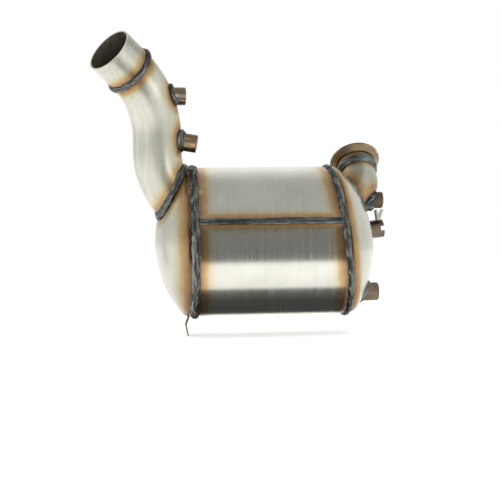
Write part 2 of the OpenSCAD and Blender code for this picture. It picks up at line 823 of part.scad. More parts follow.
// Knitted wire rings that close both ends of the filter mat
module wire_rings() {
    color("Gray") in_frame() {
        sleeve(brick_inset, wire_ring_width);
        sleeve(brick_inset + filter_length - wire_ring_width, wire_ring_width);
    }
}

// Kinked hanger strip under the lip of the outlet cap
module hanger_strip() {
    top = [-cap_lip / 2 - 2 * bracket_sheet, -shell_r + 3];
    kink = [top[0] - hanger_kink, -shell_r - hanger_drop * 0.4];
    tip = [top[0] - hanger_kink * 0.4, -shell_r - hanger_drop];
    color("RosyBrown") in_frame() difference() {
        rotate([90, 0, 0]) linear_extrude(height = hanger_width, center = true)
            polygon([top, kink, tip, tip + [bracket_sheet, 0], kink + [bracket_sheet * 1.2, 0],
                top + [bracket_sheet * 1.2, 0]]);
        at_outlet() cap_form(0, cap_lip);
    }
}

// Bent sheet clip that stands on the rear boss and holds a line
module line_clip() {
    color("RosyBrown") in_frame() difference() {
        stand(rear_boss_at, rear_boss_lean) translate([-cap_boss_r, 0, rear_boss_stand * 0.84])
            rotate([0, -90, 0]) rotate([90, 0, 0]) linear_extrude(height = clip_width, center = true)
            polygon([[-bracket_sheet, -1], [-clip_opening * 0.25, clip_height],
                [-clip_opening * 0.25 + bracket_sheet, clip_height], [0, bracket_sheet * 1.5],
                [clip_opening * 0.75, clip_height], [clip_opening * 0.75 + bracket_sheet, clip_height],
                [bracket_sheet, -1]]);
        stand(rear_boss_at, rear_boss_lean) cylinder(r = cap_boss_r, h = 2 * rear_boss_stand);
    }
}

canister_shell();
outlet_cap();
inlet_cap();
pipe_foot();
outlet_pipe();
pipe_elbow();
outlet_stub();
inlet_neck();
neck_collar();
inlet_flange();
outlet_ring_weld();
inlet_ring_weld();
seam_weld();
outlet_pipe_weld();
outlet_stub_weld();
inlet_neck_weld();
inlet_flange_weld();
upper_pipe_boss();
lower_pipe_boss();
neck_boss();
rear_cap_boss();
low_cap_boss();
upper_pipe_boss_weld();
lower_pipe_boss_weld();
neck_boss_weld();
rear_cap_boss_weld();
low_cap_boss_weld();
filter_brick();
catalyst_brick();
filter_mat();
catalyst_mat();
wire_rings();
hanger_strip();
line_clip();
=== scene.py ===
"""Looks of a diesel particulate filter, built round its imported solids."""
import json
import math

import bpy
import numpy as np
from mathutils import Matrix, Vector, noise


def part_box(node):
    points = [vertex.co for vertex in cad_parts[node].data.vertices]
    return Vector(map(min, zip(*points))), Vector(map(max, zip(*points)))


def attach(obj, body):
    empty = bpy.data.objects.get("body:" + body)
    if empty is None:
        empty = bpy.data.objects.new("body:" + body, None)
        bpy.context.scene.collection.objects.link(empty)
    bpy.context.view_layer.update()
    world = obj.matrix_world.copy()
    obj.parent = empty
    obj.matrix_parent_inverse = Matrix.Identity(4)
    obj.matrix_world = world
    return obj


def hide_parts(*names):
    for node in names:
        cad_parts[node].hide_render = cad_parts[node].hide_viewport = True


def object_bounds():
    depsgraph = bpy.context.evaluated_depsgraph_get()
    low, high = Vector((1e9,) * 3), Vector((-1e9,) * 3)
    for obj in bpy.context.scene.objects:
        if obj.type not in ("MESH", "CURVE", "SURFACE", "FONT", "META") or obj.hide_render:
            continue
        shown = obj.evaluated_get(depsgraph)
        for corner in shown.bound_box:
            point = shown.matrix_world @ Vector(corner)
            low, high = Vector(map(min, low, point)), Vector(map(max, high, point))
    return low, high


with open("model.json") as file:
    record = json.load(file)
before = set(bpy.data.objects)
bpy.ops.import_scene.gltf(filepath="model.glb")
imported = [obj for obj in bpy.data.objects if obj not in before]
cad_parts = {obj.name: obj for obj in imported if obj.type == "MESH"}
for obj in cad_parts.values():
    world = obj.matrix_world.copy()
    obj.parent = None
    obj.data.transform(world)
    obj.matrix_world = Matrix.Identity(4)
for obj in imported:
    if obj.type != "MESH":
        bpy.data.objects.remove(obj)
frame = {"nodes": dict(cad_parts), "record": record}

bl_info = {
    "name": "Diesel particulate filter looks",
    "version": (1, 0, 0),
    "blender": (4, 5, 0),
    "location": "View3D > Sidebar > Filter",
    "description": "Weld beads, threads, heat-tinted steel and a plain studio for the filter",
    "category": "Object",
}

MM = 0.001
BODY = "root"
# Name of the bead attribute that sets the beads' painted shade and highlight
RELIEF_SHADE_ATTRIBUTE = "proud"
MERGE = 0.001 * MM
STRAIGHT_SPREAD = 6

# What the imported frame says
CAD_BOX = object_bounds()
SHELL_LOW, SHELL_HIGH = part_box("canister_shell")
SHELL_MID = (SHELL_LOW.x + SHELL_HIGH.x) / 2
AXIS_Y = (SHELL_LOW.y + SHELL_HIGH.y) / 2
AXIS_Z = (SHELL_LOW.z + SHELL_HIGH.z) / 2
WELDS = [name for name in frame["nodes"] if name.endswith("_weld")]
MOUNTS = {
    mount["name"]: (Vector(mount["pos_m"]), Vector(mount["axis"]), mount["dims"])
    for mount in frame["record"]["mounts"]
}
SLOTS = {part["node"]: part["material_slot"] for part in frame["record"]["subparts"]}

# Sheet and tube: soft blotches, and small dark stains with a core and an edge
BLOTCH = 38.5 * MM
STAIN_GAP = 33.3 * MM
STAIN_CORE = 0.4 * MM
STAIN_EDGE = 1.3 * MM
BRUSH_DEPTH = 0.1 * MM
HATCH_SHARE = 0.18

# Heat tint: waves in its edge, and how far they reach to either side
RAGGED = 14.3 * MM
RAGGED_REACH = 1.6 * MM

# Weld metal: flakes of its skin, and patches that are rubbed pale
FLAKE = 2.38 * MM
FLAKE_DEPTH = 0.3 * MM
RUBBED = 13.3 * MM

# Turned steel: real tool marks are about 0.2 mm apart, and are drawn coarser so that they show
TOOL_MARK = 0.91 * MM
TOOL_DEPTH = 0.1 * MM
TINT_PATCH = 14.3 * MM

# Core: grit and fibres are finer than this, and are drawn coarser so that they show
GRIT = 1.11 * MM
FIBRE = 1.43 * MM
FIBRE_DEPTH = 0.4 * MM


def linear(text):
    """Linear colour of an sRGB hex value."""
    parts = [int(text[i:i + 2], 16) / 255 for i in (1, 3, 5)]
    return tuple(c / 12.92 if c <= 0.04045 else ((c + 0.055) / 1.055) ** 2.4 for c in parts)


def times(colour, share):
    """A colour at a share of its brightness."""
    return tuple(share * c for c in colour)


def weld_line(name):
    """Middle, axis and radius of the line that a weld follows, from its solid, and if it is straight."""
    mesh = frame["nodes"][name].data
    points = np.empty(len(mesh.vertices) * 3)
    mesh.vertices.foreach_get("co", points)
    points = points.reshape(-1, 3)
    middle = (points.min(0) + points.max(0)) / 2
    _, spread, ways = np.linalg.svd(points - points.mean(0), full_matrices=False)
    # A ring spreads about as far in its second direction as in its first, and a seam doesn't.
    straight = spread[0] > STRAIGHT_SPREAD * spread[1]
    axis = ways[0] if straight else ways[2]
    off = points - middle
    away = np.linalg.norm(off - np.outer(off @ axis, axis), axis=1)
    return Vector(middle), Vector(axis), 0.0 if straight else float(np.median(away)), straight


WELD_LINES = {name: weld_line(name) for name in WELDS}
WHITE = linear("#ffffff")


class FilterFinish(bpy.types.PropertyGroup):
    """Colours of the filter's metals."""
    steel: bpy.props.FloatVectorProperty(
        name="Stainless steel", description="Bare sheet and tube", subtype="COLOR", size=3,
        default=linear("#c9c8bb"))
    sheet: bpy.props.FloatVectorProperty(
        name="Brushed sheet", description="Belt-brushed sheet of the shell", subtype="COLOR", size=3,
        default=linear("#e6e5db"))
    bronze: bpy.props.FloatVectorProperty(
        name="Tinted steel", description="Turned bosses and flange after welding", subtype="COLOR",
        size=3, default=linear("#bd9b6c"))
    bead: bpy.props.FloatVectorProperty(
        name="Weld metal", description="Weld beads as laid", subtype="COLOR", size=3,
        default=linear("#6d706d"))
    grain: bpy.props.FloatProperty(
        name="Brush grain", description="Width of the brush lines round the shell", unit="LENGTH",
        default=2.0 * MM)


class FilterWelds(bpy.types.PropertyGroup):
    """Sizes of the weld beads' relief."""
    ripple: bpy.props.FloatProperty(
        name="Ripple spacing", description="Distance from one ripple to the next", unit="LENGTH",
        default=2.6 * MM)
    height: bpy.props.FloatProperty(
        name="Ripple height", description="Height of the ripples", unit="LENGTH", default=0.22 * MM)
    flow: bpy.props.FloatProperty(
        name="Flow height", description="Height of the ridges along the bead", unit="LENGTH",
        default=0.9 * MM)
    strand: bpy.props.FloatProperty(
        name="Strand width", description="Width of the ridges along the bead", unit="LENGTH",
        default=2.2 * MM)
    sway: bpy.props.FloatProperty(
        name="Sway", description="How far the bead wanders to either side", unit="LENGTH",
        default=0.9 * MM)
    lump: bpy.props.FloatProperty(
        name="Lump height", description="Height of the uneven lumps", unit="LENGTH", default=0.9 * MM)
    swell: bpy.props.FloatProperty(
        name="Swell", description="How far the bead's skin grows, so that its edges sink in",
        unit="LENGTH", default=0.3 * MM)
    cell: bpy.props.FloatProperty(
        name="Mesh cell", description="Size of the faces of the beads", unit="LENGTH", default=0.6 * MM)


class FilterThreads(bpy.types.PropertyGroup):
    """Sizes of the threads in the bosses."""
    pitch: bpy.props.FloatProperty(
        name="Pitch", description="Rise of the thread in one turn", unit="LENGTH", default=1.5 * MM)
    depth: bpy.props.FloatProperty(
        name="Depth", description="Height of the thread ridge", unit="LENGTH", default=0.6 * MM)


class FilterStage(bpy.types.PropertyGroup):
    """Sizes of the studio."""
    distance: bpy.props.FloatProperty(
        name="Camera distance", description="From the camera to the middle of the picture",
        unit="LENGTH", default=1.43)
    azimuth: bpy.props.FloatProperty(
        name="Azimuth", description="Turn of the camera round the canister", subtype="ANGLE",
        default=math.radians(-5.0))
    roll: bpy.props.FloatProperty(
        name="Roll", description="Tilt of the camera", subtype="ANGLE", default=math.radians(-0.9))
    lens: bpy.props.FloatProperty(
        name="Lens", description="Focal length in millimetres", default=76.8)


def node(tree, kind, inputs=None, stops=(), **settings):
    """Adds a node with its settings and colour stops, and links or sets its inputs.

    Inputs go by name, or by their place where two have one name. A stop is a place and a colour.
    """
    made = tree.nodes.new(kind)
    for key, value in settings.items():
        setattr(made, key, value)
    for key, value in (inputs or {}).items():
        if isinstance(value, bpy.types.NodeSocket):
            tree.links.new(value, made.inputs[key])
        else:
            made.inputs[key].default_value = value
    if stops:
        elements = made.color_ramp.elements
        while len(elements) < len(stops):
            elements.new(0.5)
        for element, (place, colour) in zip(elements, stops):
            element.position = place
            element.color = (*colour, 1.0)
    return made


def new_material(name):
    """A material with an empty tree, and the place on the surface for its patterns."""
    material = bpy.data.materials.new(name)
    material.use_nodes = True
    tree = material.node_tree
    tree.nodes.clear()
    return material, tree, node(tree, "ShaderNodeTexCoord").outputs["Object"]


def surface(tree, inputs):
    """Ends a material's tree with its shader and its output."""
    shader = node(tree, "ShaderNodeBsdfPrincipled", inputs)
    node(tree, "ShaderNodeOutputMaterial", {"Surface": shader.outputs[0]})


def heat_distance(tree, place, welds):
    """Distance from the nearest weld line, each scaled by how far its heat reached."""
    nearest = None
    for name, warmth in welds:
        middle, axis, radius, straight = WELD_LINES[name]
        off = node(tree, "ShaderNodeVectorMath", {0: place, 1: middle}, operation="SUBTRACT").outputs[0]
        along = node(tree, "ShaderNodeVectorMath", {0: off, 1: axis},
                     operation="DOT_PRODUCT").outputs["Value"]
        part = node(tree, "ShaderNodeVectorMath", {0: axis, "Scale": along}, operation="SCALE").outputs[0]
        across = node(tree, "ShaderNodeVectorMath", {0: off, 1: part}, operation="SUBTRACT").outputs[0]
        away = node(tree, "ShaderNodeVectorMath", {0: across}, operation="LENGTH").outputs["Value"]
        if not straight:
            beside = node(tree, "ShaderNodeMath", {0: away, 1: radius}, operation="SUBTRACT").outputs[0]
            both = node(tree, "ShaderNodeCombineXYZ", {"X": along, "Y": beside}).outputs[0]
            away = node(tree, "ShaderNodeVectorMath", {0: both}, operation="LENGTH").outputs["Value"]
        away = node(tree, "ShaderNodeMath", {0: away, 1: 1 / warmth}, operation="MULTIPLY").outputs[0]
        nearest = away if nearest is None else node(
            tree, "ShaderNodeMath", {0: nearest, 1: away}, operation="MINIMUM").outputs[0]
    return nearest


# Oxide colours of stainless steel beside a weld, as shares of the bare metal's colour. The places are
# distances from the middle of the bead over HEAT_SPAN: blue-black at its toe, brown, straw, then bare.
HEAT_SPAN = 32 * MM
HEAT_STOPS = (
    (0.00, linear("#6b6764")),
    (0.17, linear("#ab8c76")),
    (0.25, linear("#cba17a")),
    (0.33, linear("#dab58a")),
    (0.42, linear("#e4c69a")),
    (0.54, linear("#f5e9d2")),
    (0.72, linear("#fdfbf5")),
    (0.95, WHITE),
)


def steel(name, colour, rough, grain, welds=(), bump=0.12, contrast=0.10, hatch=0.0):
    """Stainless steel with brush or draw lines, soft blotches and heat tint beside the welds.

    grain gives the lengths of the lines' pattern along X, Y and Z, welds the beads that tint the steel
    with the share of HEAT_SPAN that each reaches, and hatch the spacing of regular lines across X.
    """
    material, tree, place = new_material(name)
    drawn = node(tree, "ShaderNodeMapping",
                 {"Vector": place, "Scale": [1 / length for length in grain]}).outputs[0]
    brushed = node(tree, "ShaderNodeTexNoise",
                   {"Vector": drawn, "Scale": 1.0, "Detail": 4.0, "Roughness": 0.65}).outputs[0]
    if hatch:
        # A wave runs through one cycle in a twentieth of 2 pi over its scale.
        wave = node(tree, "ShaderNodeTexWave",
                    {"Vector": place, "Scale": 2 * math.pi / (20 * hatch), "Distortion": 3.0,
                     "Detail": 2.0, "Detail Scale": 0.35}).outputs["Fac"]
        brushed = node(tree, "ShaderNodeMix", {0: HATCH_SHARE, 2: brushed, 3: wave}).outputs[0]
    blotch = node(tree, "ShaderNodeTexNoise",
                  {"Vector": place, "Scale": 1 / BLOTCH, "Detail": 3.0, "Roughness": 0.55}).outputs[0]
    spot = node(tree, "ShaderNodeTexVoronoi",
                {"Vector": place, "Scale": 1 / STAIN_GAP}).outputs["Distance"]
    shade = node(tree, "ShaderNodeMapRange",
                 {0: brushed, 1: 0.25, 2: 0.75, 3: 1 - contrast, 4: 1 + contrast * 0.4}).outputs[0]
    cloud = node(tree, "ShaderNodeMapRange", {0: blotch, 1: 0.3, 2: 0.7, 3: 0.92, 4: 1.04}).outputs[0]
    stain = node(tree, "ShaderNodeMapRange",
                 {0: spot, 1: STAIN_CORE / STAIN_GAP, 2: STAIN_EDGE / STAIN_GAP, 3: 0.55,
                  4: 1.0}).outputs[0]
    share = node(tree, "ShaderNodeMath", {0: shade, 1: cloud}, operation="MULTIPLY").outputs[0]
    share = node(tree, "ShaderNodeMath", {0: share, 1: stain}, operation="MULTIPLY").outputs[0]
    tone = node(tree, "ShaderNodeVectorMath", {0: colour, "Scale": share}, operation="SCALE").outputs[0]
    if welds:
        away = heat_distance(tree, place, welds)
        ragged = node(tree, "ShaderNodeTexNoise",
                      {"Vector": place, "Scale": 1 / RAGGED, "Detail": 3.0}).outputs[0]
        wander = node(tree, "ShaderNodeMapRange",
                      {0: ragged, 1: 0.2, 2: 0.8, 3: -RAGGED_REACH, 4: RAGGED_REACH}).outputs[0]
        away = node(tree, "ShaderNodeMath", {0: away, 1: wander}, operation="ADD").outputs[0]
        part = node(tree, "ShaderNodeMath", {0: away, 1: 1 / HEAT_SPAN}, operation="MULTIPLY").outputs[0]
        tint = node(tree, "ShaderNodeValToRGB", {"Fac": part}, stops=HEAT_STOPS).outputs[0]
        tone = node(tree, "ShaderNodeVectorMath", {0: tone, 1: tint}, operation="MULTIPLY").outputs[0]
    roughness = node(tree, "ShaderNodeMapRange",
                     {0: brushed, 1: 0.25, 2: 0.75, 3: rough - 0.05, 4: rough + 0.06}).outputs[0]
    relief = node(tree, "ShaderNodeBump",
                  {"Height": brushed, "Strength": bump, "Distance": BRUSH_DEPTH}).outputs[0]
    surface(tree, {"Base Color": tone, "Roughness": roughness, "Metallic": 1.0, "Normal": relief})
    return material


def weld_metal(name, dark, light):
    """As-laid weld metal: a dark oxide skin, with painted shade in the hollows and a painted highlight
    along the ridges that stand proud.
    """
    material, tree, place = new_material(name)
    crust = node(tree, "ShaderNodeTexNoise",
                 {"Vector": place, "Scale": 1 / FLAKE, "Detail": 5.0, "Roughness": 0.7}).outputs[0]
    patch = node(tree, "ShaderNodeTexNoise",
                 {"Vector": place, "Scale": 1 / RUBBED, "Detail": 2.0}).outputs[0]
    proud = node(tree, "ShaderNodeAttribute", attribute_name=RELIEF_SHADE_ATTRIBUTE).outputs["Fac"]
    flaked = node(tree, "ShaderNodeMapRange", {0: crust, 1: 0.3, 2: 0.7, 3: -0.25, 4: 0.25}).outputs[0]
    rubbed = node(tree, "ShaderNodeMapRange", {0: patch, 1: 0.35, 2: 0.68, 3: -0.28, 4: 0.20}).outputs[0]
    # How proud a point stands gives painted shade in the hollows and a painted highlight on the ridges.
    share = node(tree, "ShaderNodeMath", {0: proud, 1: flaked}, operation="ADD").outputs[0]
    share = node(tree, "ShaderNodeMath", {0: share, 1: rubbed}, operation="ADD").outputs[0]
    # A little darker than half-way between the two.
    middle = tuple(0.45 * (d + p) for d, p in zip(dark, light))
    tone = node(tree, "ShaderNodeValToRGB", {"Fac": share},
                stops=((0.12, dark), (0.55, middle), (0.95, light))).outputs[0]
    roughness = node(tree, "ShaderNodeMapRange", {0: share, 1: 0.1, 2: 0.9, 3: 0.55, 4: 0.30}).outputs[0]
    relief = node(tree, "ShaderNodeBump",
                  {"Height": crust, "Strength": 0.6, "Distance": FLAKE_DEPTH}).outputs[0]
    surface(tree, {"Base Color": tone, "Roughness": roughness, "Metallic": 1.0, "Normal": relief})
    return material


def turned_steel(name, colour, mount, rough=0.20):
    """Lathe-turned steel with fine tool marks round its axis and a bronze heat tint."""
    material, tree, place = new_material(name)
    middle, axis, _ = MOUNTS[mount]
    off = node(tree, "ShaderNodeVectorMath", {0: place, 1: middle}, operation="SUBTRACT").outputs[0]
    along = node(tree, "ShaderNodeVectorMath", {0: off, 1: axis}, operation="DOT_PRODUCT").outputs["Value"]
    marks = node(tree, "ShaderNodeTexNoise", {"W": along, "Scale": 1 / TOOL_MARK, "Detail": 2.0},
                 noise_dimensions="1D").outputs[0]
    patch = node(tree, "ShaderNodeTexNoise",
                 {"Vector": place, "Scale": 1 / TINT_PATCH, "Detail": 3.0}).outputs[0]
    shade = node(tree, "ShaderNodeMapRange", {0: marks, 1: 0.3, 2: 0.7, 3: 0.82, 4: 1.06}).outputs[0]
    cool = node(tree, "ShaderNodeMapRange", {0: patch, 1: 0.35, 2: 0.75}).outputs[0]
    # Where the tint is thin, a darker grey shows through it.
    grey = tuple(0.62 * sum(colour) / 3 + 0.10 * c for c in colour)
    tone = node(tree, "ShaderNodeMix", {0: cool, 6: (*colour, 1), 7: (*grey, 1)},
                data_type="RGBA").outputs[2]
    tone = node(tree, "ShaderNodeVectorMath", {0: tone, "Scale": shade}, operation="SCALE").outputs[0]
    roughness = node(tree, "ShaderNodeMapRange",
                     {0: patch, 1: 0.3, 2: 0.7, 3: rough - 0.06, 4: rough + 0.10}).outputs[0]
    relief = node(tree, "ShaderNodeBump",
                  {"Height": marks, "Strength": 0.25, "Distance": TOOL_DEPTH}).outputs[0]
    surface(tree, {"Base Color": tone, "Roughness": roughness, "Metallic": 1.0, "Normal": relief})
    return material


def honeycomb(name, wall, channel_shade, pitch):
    """Extruded ceramic: square channels seen end on, walls in one tone and the channels' mouths in a darker
    one as painted shade.
    """
    material, tree, place = new_material(name)
    # The darker squares are painted shade inside the open channels.
    cells = node(tree, "ShaderNodeTexChecker", {"Vector": place, "Color1": (*wall, 1),
                                               "Color2": (*channel_shade, 1), "Scale": 1 / pitch}).outputs[0]
    grit = node(tree, "ShaderNodeTexNoise", {"Vector": place, "Scale": 1 / GRIT, "Detail": 3.0}).outputs[0]
    shade = node(tree, "ShaderNodeMapRange", {0: grit, 3: 0.8, 4: 1.15}).outputs[0]
    tone = node(tree, "ShaderNodeVectorMath", {0: cells, "Scale": shade}, operation="SCALE").outputs[0]
    surface(tree, {"Base Color": tone, "Roughness": 0.9})
    return material


def fibre(name, pale, shadow):
    """Packed fibre mat or knitted wire: soft tangled strands, with painted shadow between them."""
    material, tree, place = new_material(name)
    strands = node(tree, "ShaderNodeTexNoise", {"Vector": place, "Scale": 1 / FIBRE, "Detail": 5.0,
                                               "Distortion": 1.5}).outputs[0]
    share = node(tree, "ShaderNodeMapRange", {0: strands, 1: 0.35, 2: 0.65}).outputs[0]
    tone = node(tree, "ShaderNodeMix", {0: share, 6: (*shadow, 1), 7: (*pale, 1)},
                data_type="RGBA").outputs[2]
    relief = node(tree, "ShaderNodeBump",
                  {"Height": strands, "Strength": 0.6, "Distance": FIBRE_DEPTH}).outputs[0]
    surface(tree, {"Base Color": tone, "Roughness": 0.85, "Normal": relief})
    return material


def dress(material, *names):
    """Gives CAD nodes a finished material."""
    for name in names:
        mesh = frame["nodes"][name].data
        mesh.materials.clear()
        mesh.materials.append(material)


def alone(piece):
    """Selects one object and makes it the active one."""
    bpy.ops.object.select_all(action="DESELECT")
    piece.select_set(True)
    bpy.context.view_layer.objects.active = piece


class FILTER_OT_canister(bpy.types.Operator):
    """Dress the shell and the caps"""
    bl_idname = "filter.canister"
    bl_label = "Canister finish"

    def execute(self, context):
        finish = context.scene.filter_finish
        # Ferritic stainless sheet, belt-brushed round the shell: fine lines run round it, so that its
        # tone changes along X, and its reflections are soft.
        shell = steel("brushed stainless sheet", finish.sheet, rough=0.22,
                      grain=(finish.grain, 111 * MM, 111 * MM),
                      welds=[("outlet_ring_weld", 1.0), ("inlet_ring_weld", 1.0), ("seam_weld", 0.68)],
                      contrast=0.085, bump=0.06, hatch=3.4 * MM)
        dress(shell, "canister_shell")
        # Deep-drawn stainless caps: a satin skin with soft draw lines, browned beside each weld.
        drawn = times(finish.steel, 0.88)
        grain = (4.55 * MM, 71.4 * MM, 71.4 * MM)
        outlet = steel("drawn stainless cap", drawn, rough=0.24, grain=grain,
                       welds=[("outlet_ring_weld", 1.55), ("outlet_pipe_weld", 0.95)])
        inlet = steel("drawn stainless cap at the inlet", drawn, rough=0.24, grain=grain,
                      welds=[("inlet_ring_weld", 0.88), ("inlet_neck_weld", 0.9),
                             ("rear_cap_boss_weld", 0.7), ("low_cap_boss_weld", 0.7)])
        dress(outlet, "outlet_cap")
        dress(inlet, "inlet_cap")
        return {"FINISHED"}


class FILTER_OT_tubes(bpy.types.Operator):
    """Dress the outlet pipe, its stub and the inlet neck"""
    bl_idname = "filter.tubes"
    bl_label = "Tube finish"

    def execute(self, context):
        finish = context.scene.filter_finish
        # Mandrel-bent stainless tube: satin, with long soft draw lines down its length.
        pipe = steel("mandrel-bent stainless tube", times(finish.steel, 1.04), rough=0.34,
                     grain=(6.67 * MM, 6.67 * MM, 125 * MM),
                     welds=[("outlet_pipe_weld", 1.0), ("upper_pipe_boss_weld", 0.9),
                            ("lower_pipe_boss_weld", 1.0), ("outlet_stub_weld", 0.8)],
                     contrast=0.2)
        dress(pipe, "pipe_foot", "outlet_pipe", "pipe_elbow", "outlet_stub")
        # Short neck of the same tube: duller and without a clear direction, because hot gas meets it first.
        neck = steel("bent stainless neck", times(finish.steel, 0.8), rough=0.34,
                     grain=(16.7 * MM, 11.1 * MM, 16.7 * MM),
                     welds=[("inlet_neck_weld", 1.1), ("inlet_flange_weld", 0.8), ("neck_boss_weld", 1.1)],
                     contrast=0.16)
        dress(neck, "inlet_neck", "neck_collar")
        return {"FINISHED"}


# Share of the tint's brightness, and of its colour, that each boss keeps
BOSS_TINTS = {
    "upper_pipe_boss": (0.85, 1.0),
    "lower_pipe_boss": (0.72, 1.0),
    "neck_boss": (0.27, 0.9),
    "rear_cap_boss": (0.4, 0.6),
    "low_cap_boss": (0.46, 0.65),
}


class FILTER_OT_turned(bpy.types.Operator):
    """Dress the flange and the bosses"""
    bl_idname = "filter.turned"
    bl_label = "Turned finish"

    def execute(self, context):
        finish = context.scene.filter_finish
        # Turned steel flange, bronze from the heat of its weld: a dull brown with fine rings.
        flange = turned_steel("turned flange, heat tinted", times(finish.bronze, 0.64), "inlet_mouth",
                              rough=0.34)
        dress(flange, "inlet_flange")
        # Turned steel bosses: smoother than the flange, from bright bronze to nearly black.
        plain = sum(finish.bronze) / 3
        for boss, (share, hue) in BOSS_TINTS.items():
            colour = tuple(share * (plain + hue * (c - plain)) for c in finish.bronze)
            mount = boss.replace("_boss", "_sensor")
            dress(turned_steel("turned boss, heat tinted, " + boss, colour, mount), boss)
        return {"FINISHED"}


class FILTER_OT_brackets(bpy.types.Operator):
    """Dress the hanger strip and the line clip"""
    bl_idname = "filter.brackets"
    bl_label = "Bracket finish"

    def execute(self, context):
        finish = context.scene.filter_finish
        grain = (25 * MM, 3.33 * MM, 25 * MM)
        # Sheared stainless strip: a dull mill finish, browned where it was welded on.
        strip = steel("sheared stainless strip", times(finish.steel, 0.72), rough=0.35, grain=grain,
                      welds=[("outlet_ring_weld", 1.3)])
        dress(strip, "hanger_strip")
        # Sheared stainless clip: the same mill finish, paler because no weld has heated it.
        clip = steel("sheared stainless clip", times(finish.steel, 0.85), rough=0.33, grain=grain)
        dress(clip, "line_clip")
        return {"FINISHED"}


class FILTER_OT_core(bpy.types.Operator):
    """Dress the bricks, their mats and the wire rings"""
    bl_idname = "filter.core"
    bl_label = "Core finish"

    def execute(self, context):
        # Extruded silicon carbide: dark grey, matt and gritty, its channels painted near black as painted
        # shade.
        carbide = honeycomb("silicon carbide", linear("#4a4c4e"), linear("#1c1d1e"), pitch=1.5 * MM)
        dress(carbide, "filter_brick")
        # Extruded cordierite with a catalyst coat: a matt tan, its channels painted darker as painted
        # shade.
        cordierite = honeycomb("coated cordierite", linear("#b49a78"), linear("#5a4a36"), pitch=1.3 * MM)
        dress(cordierite, "catalyst_brick")
        # Needled ceramic fibre: off-white and woolly, with painted shadow between the fibres.
        mat = fibre("ceramic fibre mat", linear("#efece2"), linear("#b9b4a6"))
        dress(mat, "filter_mat", "catalyst_mat")
        # Knitted steel wire: grey loops, with painted shadow in the dark gaps.
        wire = fibre("knitted steel wire", linear("#8d8f8f"), linear("#2f3031"))
        dress(wire, "wire_rings")
        return {"FINISHED"}


def merged_copy(name, title):
    """A copy of a CAD node with its split corners merged, selected and active."""
    piece = bpy.data.objects.new(title, frame["nodes"][name].data.copy())
    bpy.context.scene.collection.objects.link(piece)
    alone(piece)
    bpy.ops.object.mode_set(mode="EDIT")
    bpy.ops.mesh.select_all(action="SELECT")
    bpy.ops.mesh.remove_doubles(threshold=MERGE)
    bpy.ops.object.mode_set(mode="OBJECT")
    return piece


def farthest(points, foot, axis):
    """Largest distance of points from a line."""
    return max((point - foot).cross(axis).length for point in points)


NECK_END_GAP = 0.02 * MM
NECK_END_FACING = 0.999
NECK_SMOOTH = math.radians(30)


class FILTER_OT_neck(bpy.types.Operator):
    """Draw the inlet neck and its collar as the one tube they are"""
    bl_idname = "filter.neck"
    bl_label = "Inlet neck"

    def execute(self, context):
        mouth, axis, _ = MOUNTS["inlet_mouth"]
        sized = [v.co for v in frame["nodes"]["neck_collar"].data.vertices]
        levels = [(point - mouth).dot(axis) for point in sized]
        start, end = min(levels), max(levels)
        neck = merged_copy("inlet_neck", "inlet_neck_tube")
        bpy.ops.mesh.customdata_custom_splitnormals_clear()
        bpy.ops.object.mode_set(mode="EDIT")
        bpy.ops.mesh.select_mode(type="FACE")
        bpy.ops.mesh.select_all(action="DESELECT")
        bpy.ops.object.mode_set(mode="OBJECT")
        # The end that meets the collar runs on by the collar's length, and widens to its sized mouth.
        for face in neck.data.polygons:
            level = abs((face.center - mouth).dot(axis) - start) < NECK_END_GAP
            face.select = level and abs(face.normal.dot(axis)) > NECK_END_FACING
        ends = [face for face in neck.data.polygons if face.select]
        rim = [neck.data.vertices[i].co for face in ends for i in face.vertices]
        flare = farthest(sized, mouth, axis) / farthest(rim, mouth, axis)
        bpy.ops.object.mode_set(mode="EDIT")
        bpy.ops.mesh.extrude_region_move(TRANSFORM_OT_translate={"value": (end - start) * axis})
        bpy.ops.transform.resize(value=(flare, flare, flare), center_override=mouth + end * axis)
        bpy.ops.object.mode_set(mode="OBJECT")
        bpy.ops.object.shade_smooth_by_angle(angle=NECK_SMOOTH)
        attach(neck, BODY)
        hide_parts("inlet_neck", "neck_collar")
        return {"FINISHED"}


# Lengths of a bead's unevenness: where it slurs and sways, its strands, lumps and pits
SLUR_RUN = 11 * MM
SLUR_REACH = 1.8 * MM
SWAY_RUN = 16 * MM
STRAND_RUN = 24 * MM
LUMP_RUN = 8 * MM
LUMP_WIDTH = 7 * MM
PIT = 1.6 * MM
# Turns of a ripple's phase, in radians: at its ends, which trail, and where the bead slurs
RIPPLE_TRAIL = 1.6
RIPPLE_SLUR = 2.5
# How sharply a strand falls off at its sides, the level that counts as its foot, and a ripple's share
STRAND_FALL = 2.6
STRAND_FOOT = 0.45
RIPPLE_SHARE = 0.6
# A straight run is laid more evenly than one round a corner: longer strands that wander less
STRAIGHT_CALM = 0.4
# How much a point counts as proud, which sets its painted shade and highlight, for standing on a strand and
# for being raised at all
PROUD_STRAND = 0.275
PROUD_RAISED = 0.12


